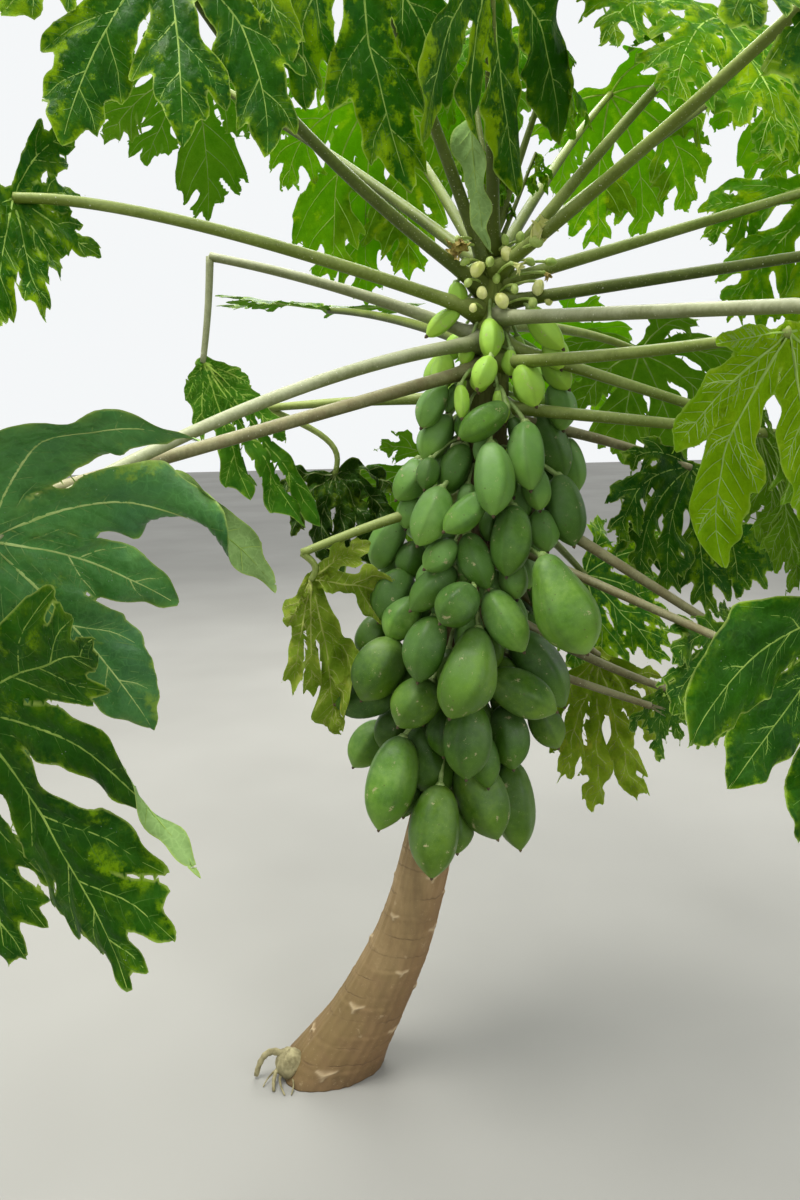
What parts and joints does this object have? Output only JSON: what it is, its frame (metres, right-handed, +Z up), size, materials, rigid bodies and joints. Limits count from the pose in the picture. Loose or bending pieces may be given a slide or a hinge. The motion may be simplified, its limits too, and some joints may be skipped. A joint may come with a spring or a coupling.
{
  "type": "papaya tree",
  "caption": "Papaya tree in fruit with a leaning tapered trunk, long stalked lobed leaves and a column of hanging green fruit.",
  "frame": {"origin": "middle of the flat cut under the trunk, at ground level", "axes": "+Z up; the trunk leans towards +X; -Y is the side that faced the viewer"},
  "size_m": [1.9421, 2.0625, 2.4949],
  "materials": {
    "bark": "matte tan bark with leaf scars, faint rings and fine vertical streaks",
    "stalk": "smooth pale green leaf stalk with a waxy bloom and small pores",
    "dry_stalk": "dry brown bare stalk, frayed at its end",
    "leaf": "soft sheen green blade with pale raised veins, lighter under",
    "old_leaf": "dull wilted olive blade, dry at the edges",
    "fruit": "smooth unripe green skin with a light waxy bloom"
  },
  "bodies": {
    "root": {"frond_back_1": "leaf", "frond_back_2": "leaf", "frond_back_3": "leaf", "frond_back_4": "leaf", "frond_back_5": "leaf", "frond_back_6": "leaf", "frond_back_7": "leaf", "frond_back_8": "leaf", "frond_back_9": "leaf", "fruit_lower": "fruit", "fruit_middle": "fruit", "fruit_upper": "fruit", "leaf_left_1": "leaf", "leaf_left_2": "leaf", "leaf_left_3": "leaf", "leaf_left_4": "leaf", "leaf_left_5": "old_leaf", "leaf_left_6": "old_leaf", "leaf_right_1": "leaf", "leaf_right_10": "leaf", "leaf_right_11": "leaf", "leaf_right_13": "leaf", "leaf_right_15": "old_leaf", "leaf_right_2": "leaf", "leaf_right_3": "leaf", "leaf_right_4": "leaf", "leaf_right_5": "leaf", "leaf_right_6": "leaf", "leaf_right_7": "leaf", "leaf_right_8": "leaf", "leaf_right_9": "leaf", "leaf_upper_1": "leaf", "leaf_upper_2": "leaf", "leaf_upper_3": "leaf", "stalk_left_1": "stalk", "stalk_left_2": "stalk", "stalk_left_3": "stalk", "stalk_left_4": "stalk", "stalk_left_5": "stalk", "stalk_left_6": "stalk", "stalk_right_1": "stalk", "stalk_right_10": "stalk", "stalk_right_11": "stalk", "stalk_right_12": "dry_stalk", "stalk_right_13": "stalk", "stalk_right_14": "dry_stalk", "stalk_right_15": "stalk", "stalk_right_2": "stalk", "stalk_right_3": "stalk", "stalk_right_4": "stalk", "stalk_right_5": "stalk", "stalk_right_6": "stalk", "stalk_right_7": "stalk", "stalk_right_8": "stalk", "stalk_right_9": "stalk", "stalk_upper_1": "stalk", "stalk_upper_2": "stalk", "stalk_upper_3": "stalk", "trunk": "bark", "young_leaves": "leaf"}
  },
  "joints": []
}
